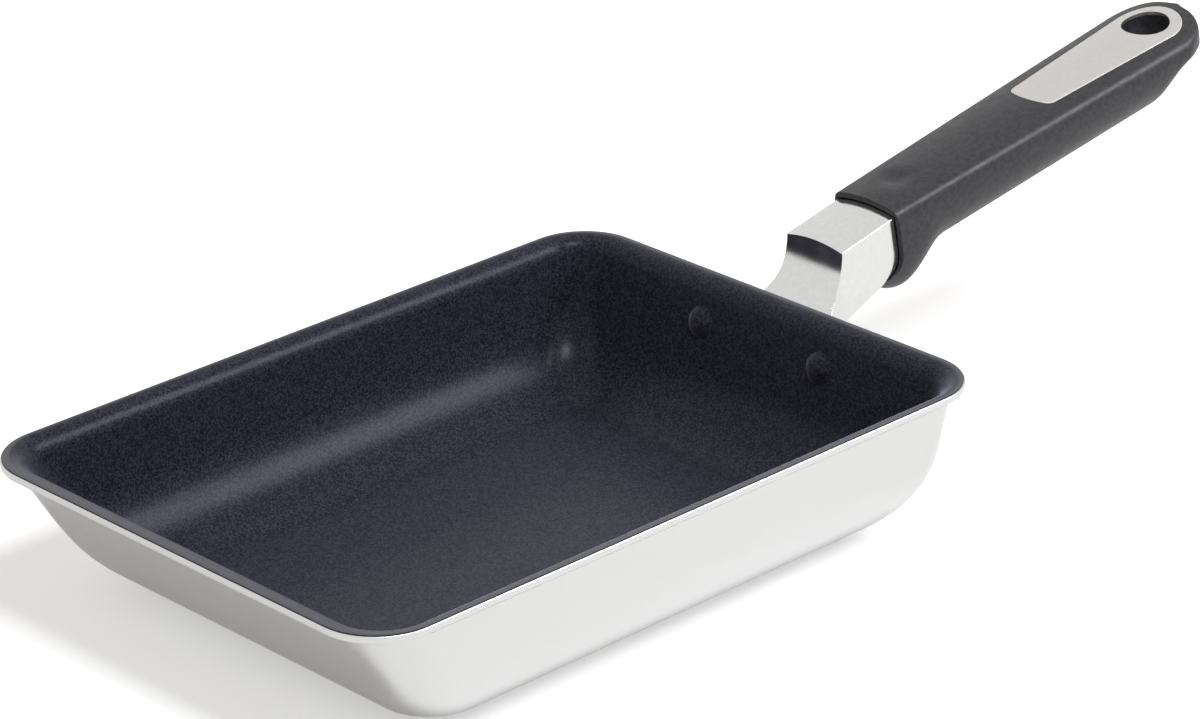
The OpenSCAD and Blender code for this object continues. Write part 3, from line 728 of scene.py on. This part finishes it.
def gripSection(u):
    w, h, fall = ridgeHalf(u), belly(u), tailFall(u)
    m = max(swellHalf(u), w + 0.02)
    guard = 1 - smoothStep(u / grip["guardReach"])
    box = grip["bellyFull"] + (grip["guardFull"] - grip["bellyFull"]) * guard
    edge, swellDepth = crownAt(w) - fall, grip["swellDepth"]
    steps = grip["crownSteps"]
    soft = min(grip["ridge"] + max(m - w - grip["swell"], 0) / 4, w * 0.8)
    flats = [(soft - w) * i / steps for i in range(-steps, steps + 1)]
    top = [(y, crownAt(y) - fall - dent(u, y)) for y in flats]
    share = min(soft / (swellDepth + edge), 0.6)

    def onSide(t):
        return (-w - (m - w) * sinD(90 * t), edge - (swellDepth + edge) * t)

    half = []
    steps = grip["ridgeSteps"]
    for i in range(1, steps):
        t = i / steps
        half.append(tuple((1 - t) ** 2 * a + 2 * t * (1 - t) * b + t * t * c
                          for a, b, c in zip(top[-1], (-w, edge), onSide(share))))
    steps = grip["sideSteps"]
    half += [onSide(share + (1 - share) * i / steps) for i in range(steps + 1)]
    steps = grip["bellySteps"]
    for i in range(1, steps + 1):
        a = 90 * i / steps
        out, down = max(cosD(a), 0) ** (2 / box), sinD(a) ** (2 / box)
        half.append((-m * out, -swellDepth - (h - swellDepth) * down))
    return top + half + [(-y, n) for y, n in reversed(half[:-1])]


def mouthLine(n):  # where the grip starts, n above its top
    if n >= grip["mouthRadius"] - grip["mouth"]:
        return grip["mouthBack"]
    if n >= -grip["mouth"]:
        drop = n + grip["mouth"] - grip["mouthRadius"]
        return grip["mouthBack"] - grip["mouthRadius"] + sqrt(max(grip["mouthRadius"] ** 2 - drop ** 2, 0))
    return -99.0


def mouthStart(k):  # the first u at which corner k of the section is inside the grip
    low, high = -grip["lipReach"], grip["mouthBack"]
    for _ in range(40):
        middle = (low + high) / 2
        if middle >= mouthLine(gripSection(middle)[k][1]):
            high = middle
        else:
            low = middle
    return high


def makeGrip():
    flatFrom, plainFrom = grip["flatFrom"], grip["plainFrom"]  # flat sections, and then plain ones
    count = len(gripSection(0))
    starts = [mouthStart(k) for k in range(count)]
    rows = []
    for t in grip["mouthRows"]:
        spots = [start + (flatFrom - start) * t for start in starts]
        rows.append([onGrip(u, *gripSection(u)[k]) for k, u in enumerate(spots)])
    turns = [flatFrom + i for i in range(int(plainFrom - flatFrom))]
    steps = grip["plainSteps"]
    plain = [plainFrom + (tailRiseU - plainFrom) * i / steps for i in range(steps + 1)]
    rise = [tailRiseU + 2 * i for i in range(1, 5)]
    steps = grip["tailSteps"]
    tail = [holeU + (grip["holeInset"] - 0.03) * sinD(90 * i / steps) for i in range(steps + 1)]
    for u in turns + plain + rise + tail:
        rows.append([onGrip(u, y, n) for y, n in gripSection(u)])
    piece, kept = loft("mouldedGrip", rows)
    capRow(piece, kept[-1])

    crowns = 2 * grip["crownSteps"] + 1  # close the mouth across, so that it curves only along the grip
    halves = grip["ridgeSteps"] + grip["sideSteps"] + grip["bellySteps"]
    left = [grip["crownSteps"]] + list(range(grip["crownSteps"] + 1, crowns + halves))
    ring = kept[0]
    partner = {k: (2 * grip["crownSteps"] - k if k < crowns else count - 1 - (k - crowns)) for k in left}
    for a, b in zip(left, left[1:]):
        selectVerts(piece, {ring[a], ring[b], ring[partner[a]], ring[partner[b]]})
        bpy.ops.mesh.edge_face_add()
    mesh = openMesh(piece, "EDGE")
    for e in mesh.edges:  # round the edge of the mouth
        sharp = e.calc_face_angle(0) > radians(48)
        near = all((v.co / mm - Vector((gripX, 0, gripZ))).dot(along) < 0.6 for v in e.verts)
        e.select_set(sharp and near)
    bmesh.update_edit_mesh(piece.data)
    bpy.ops.mesh.bevel(offset=grip["mouthEdge"] * mm, segments=5, affect="EDGES", clamp_overlap=True)
    closeMesh(piece)
    return piece


# the inlay plate and its pocket
inlay = {
    "thickness": 1.0, "length": 49.0, "frontWidth": 14.8, "ringWidth": 19.8, "frontRadius": 14.0,
    "corner": 3.0, "proud": 0.1, "rim": 1.0, "rimFall": 0.36, "rimTurn": 30, "pocket": 0.15, "seat": 0.02,
    "claw": 3.0, "clawWidth": 4.0, "clawSheet": 1.0, "frontClaw": 10.0, "backClaw": 1.0,
}


def inlayOutline(grow=0.0):
    frontR, small, ringR = inlay["frontRadius"], inlay["corner"], inlay["ringWidth"] / 2
    front = holeU - inlay["length"] + frontR
    turn = degrees(asin((inlay["frontWidth"] / 2 - small) / (frontR - small)))
    corner = (front - (frontR - small) * cosD(turn), (frontR - small) * sinD(turn))
    du, dy = holeU - corner[0], -corner[1]
    lean = degrees(asin((ringR - small) / sqrt(du * du + dy * dy)) + atan2(dy, du))
    u0, y0 = arc(*corner, small + grow, 90 + lean, 90 + lean, 1)[0]
    u1, y1 = arc(holeU, 0, ringR + grow, 90 + lean, 90 + lean, 1)[0]
    half = arc(front, 0, frontR + grow, 180, 180 - turn, 8)
    half += arc(*corner, small + grow, 180 - turn, 90 + lean, 10)[1:]
    half += [(u0 + (u1 - u0) * t / 14, y0 + (y1 - y0) * t / 14) for t in range(1, 14)]
    half += arc(holeU, 0, ringR + grow, 90 + lean, 0, 30)
    return half + [(u, -y) for u, y in reversed(half[1:-1])]


def plateRow(points, above):  # points in plan, placed above the crown
    return [onGrip(u, y, crownAt(y) + above) for u, y in points]


def towardsHole(points, share, radius=0.0):  # from a circle round the hole's axis (0) to the points (1)
    blend = []
    for u, y in points:
        far = sqrt((u - holeU) ** 2 + y * y)
        scale = share + (1 - share) * radius / far
        blend.append((holeU + (u - holeU) * scale, y * scale))
    return blend


def clawBlocks(grow):  # the two claws under the plate, or with room round them
    blocks = []
    reach, half = inlay["clawSheet"] / 2, inlay["clawWidth"] / 2 + grow
    levels = (-inlay["thickness"] - inlay["claw"] - grow, -inlay["thickness"] / 2)
    for middle in (holeU - inlay["length"] + inlay["frontClaw"] + reach, seatU - inlay["backClaw"] - reach):
        low, high = middle - reach - grow, middle + reach + grow
        corners = [(low, -half), (high, -half), (high, half), (low, half)]
        blocks.append(closedLoft("claw", [[onGrip(u, y, n) for u, y in corners] for n in levels]))
    return blocks


def makeInlay():
    outline = inlayOutline()
    holeR = grip["hole"] / 2
    fall, top, turn = inlay["rimFall"], inlay["proud"], inlay["rimTurn"]
    rounding = [(inlay["rim"] * (cosD(turn) - c), top - fall * (1 - s))  # how far in from the edge, how high
                for c, s in arc(0, 0, 1, turn, 90, 6)]
    flat = rounding[-1][0]
    shares = (0.2, 0.4, 0.6, 0.8)
    rings = [plateRow(towardsHole(outline, 0, holeR), -inlay["thickness"])]
    rings += [plateRow(towardsHole(outline, 0, holeR + far), high) for far, high in rounding]
    rings += [plateRow(towardsHole(inlayOutline(-flat), share, holeR + flat), top) for share in shares]
    rings += [plateRow(inlayOutline(-far), high) for far, high in reversed(rounding)]
    rings.append(plateRow(outline, -inlay["thickness"]))
    piece, kept = loft("inlayPlate", rings)
    mesh = openMesh(piece, "EDGE")
    for e in mesh.edges:
        e.select_set(e.is_boundary)
    bmesh.update_edit_mesh(piece.data)
    bpy.ops.mesh.bridge_edge_loops()
    closeMesh(piece)
    cutWith(piece, *clawBlocks(0), join=True)
    return piece


def cutGrip(piece):
    outline = inlayOutline(inlay["pocket"])
    floor = -inlay["thickness"] - inlay["seat"]
    levels = [plateRow(outline, 6)]
    levels += [plateRow(towardsHole(outline, share), floor) for share in (1, 0.8, 0.6, 0.4, 0.2, 0.04)]
    pocket = closedLoft("pocket", levels)
    hole = rod(onGrip(holeU, 0, -30), upward, 40, grip["hole"], 96)  # right through the tail
    recess = rod(onGrip(seatU, 0, -screw["depth"]), along, holeU - grip["hole"] / 4 - seatU,
                 screw["washer"] + 2 * screw["pocket"], 64)
    bore = rod(onGrip(bracket["tang"] - 1, 0, -screw["depth"]), along, seatU + 2 - bracket["tang"],
               screw["diameter"] + 4 * screw["clearance"])

    gap, climb = grip["gap"], tanD(bracket["neckTilt"] - grip["tilt"])
    halfRoom = halfNeck + gap
    columns = bracket["columns"]
    ys = [halfRoom * (1 - 2 * i / (columns - 1)) for i in range(columns)]
    outside, neckInside = -9.0, bracket["neckInside"] + 0.2  # where the room starts, and where the neck ends

    def roomRing(u, top, low, wide=1.0):
        row = [onGrip(u, y * wide, top + crownAt(y * wide)) for y in ys]
        return row + [onGrip(u, -halfRoom * wide, low), onGrip(u, halfRoom * wide, low)]

    slope = (cheekDepth - tangDepth) / (bracket["tangFront"] - cheekFront)
    tangTop, tangFloor = gap - tangDrop, -tangDepth - gap
    spots = [(u, u * climb - grip["wall"], slope * (u - cheekFront) - cheekDepth - gap)
             for u in (outside, 0.2, neckInside)]
    spots += [(neckInside + 0.1, tangTop, spots[-1][2]), (bracket["tangFront"], tangTop, tangFloor),
              (bracket["tang"] + gap, tangTop, tangFloor)]
    room = closedLoft("room", [roomRing(*spot) for spot in spots])
    ease, low = grip["relief"], 1 - grip["mouth"]  # a shallow relief round the neck at the mouth
    front = [roomRing(u, ease + u * climb - grip["wall"], low, 1 + ease / halfRoom)
             for u in (outside, grip["reliefEnd"])]
    relief = closedLoft("relief", front)
    cutWith(piece, room, relief, pocket, hole, recess, bore, *clawBlocks(inlay["pocket"]))


gripPiece = makeGrip()
cutGrip(gripPiece)
finishPiece(gripPiece, "grip", resinFinish)
finishPiece(makeInlay(), "inlay_plate", inlayFinish)


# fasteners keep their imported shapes
for name in ("bracket_nut", "handle_screw", "flat_washer", "spring_washer"):
    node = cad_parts[name]
    node.data.materials.clear()
    node.data.materials.append(fastenerFinish)
print("fasteners finished")


# camera, floor and light
view = {
    "lens": 145.2, "azimuth": -43.13, "elevation": 24.07, "roll": -1.22,
    "shiftX": -26.01, "shiftY": -49.7, "distance": 1182.85,
}


def placeCamera():
    a, e, r = view["azimuth"], view["elevation"], view["roll"]
    back = Vector((sinD(a) * cosD(e), -cosD(a) * cosD(e), sinD(e)))
    right = Vector((cosD(a), sinD(a), 0))
    up = back.cross(right)
    across = right * cosD(r) + up * sinD(r)
    upright = -right * sinD(r) + up * cosD(r)
    spot = -view["shiftX"] * across - view["shiftY"] * upright + view["distance"] * back
    bpy.ops.object.camera_add()
    camera = bpy.context.object
    camera.data.sensor_width = 36
    camera.data.lens = view["lens"]
    camera.data.clip_start = 0.01
    turn = Matrix((across, upright, back)).transposed().to_4x4()
    camera.matrix_world = Matrix.Translation(spot * mm) @ turn
    bpy.context.scene.camera = camera


def rayKinds(material):  # the light path, and whether a ray is glossy or transmitted
    rays = addNode(material, "ShaderNodeLightPath")
    mirrored = addNode(material, "ShaderNodeMath", operation="ADD")
    joinNodes(material, rays, "Is Glossy Ray", mirrored, 0)
    joinNodes(material, rays, "Is Transmission Ray", mirrored, 1)
    return rays, mirrored


def makeFloor():
    studio = {"size": 8.0, "drop": 0.2, "colour": (0.86, 0.86, 0.86), "glow": 0.38, "reflected": 0.42}
    clearSelection()
    bpy.ops.mesh.primitive_plane_add(size=studio["size"], location=(0, 0, -studio["drop"] * mm))
    floor = startPiece("studioFloor")
    material = newMaterial("paleFloor", studio["colour"], 0, 0.9)
    shader = material.node_tree.nodes["Principled BSDF"]
    shader.inputs["Emission Color"].default_value = (1, 1, 1, 1)
    rays, mirrored = rayKinds(material)
    glow = addNode(material, "ShaderNodeMath", operation="MULTIPLY_ADD")  # the reflected floor glows less
    glow.inputs[1].default_value = studio["reflected"]
    joinNodes(material, mirrored, 0, glow, 0)
    joinNodes(material, rays, "Is Camera Ray", glow, 2)
    strength = addNode(material, "ShaderNodeMath", operation="MULTIPLY")
    strength.inputs[1].default_value = studio["glow"]
    joinNodes(material, glow, 0, strength, 0)
    joinNodes(material, strength, 0, shader, "Emission Strength")
    floor.data.materials.append(material)


def makeWorld():
    sky = {"fill": 0.42, "warm": (1.0, 0.96, 0.93), "seen": 1.0}
    world = bpy.data.worlds.new("studio")
    bpy.context.scene.world = world
    world.use_nodes = True
    background = world.node_tree.nodes["Background"]
    rays, mirrored = rayKinds(world)
    seen = addNode(world, "ShaderNodeMath", operation="ADD", use_clamp=True)
    joinNodes(world, mirrored, 0, seen, 0)
    joinNodes(world, rays, "Is Camera Ray", seen, 1)
    strength = addNode(world, "ShaderNodeMapRange")
    strength.inputs["To Min"].default_value = sky["fill"]
    strength.inputs["To Max"].default_value = sky["seen"]
    joinNodes(world, seen, 0, strength, "Value")
    joinNodes(world, strength, "Result", background, "Strength")
    tint = addNode(world, "ShaderNodeMix", data_type="RGBA")
    tint.inputs[6].default_value = (*sky["warm"], 1)
    tint.inputs[7].default_value = (1, 1, 1, 1)
    joinNodes(world, seen, 0, tint, 0)
    joinNodes(world, tint, 2, background, "Color")


lamps = {
    "keySoftbox": {"spot": (0.855, -0.81, 0.93), "target": (0.0, 0.0, 0.0), "size": 0.6, "power": 13},
    "frontSoftbox": {"spot": (-0.08, -0.6, 1.3), "target": (0.08, 0.05, 0.02), "size": 0.3, "power": 9},
}


def addLamp(name, spot, target, size, power):
    bpy.ops.object.light_add(type="AREA", location=spot)
    lamp = bpy.context.object
    lamp.name = name
    lamp.data.size = size
    lamp.data.energy = power
    lamp.data.color = (0.97, 0.985, 1.0)
    aim = (Vector(target) - Vector(spot)).to_track_quat("-Z", "Y")
    lamp.rotation_euler = aim.to_euler()


bpy.context.scene.view_settings.view_transform = "Standard"
placeCamera()
makeFloor()
makeWorld()
for name, values in lamps.items():
    addLamp(name, **values)
print("studio lit")
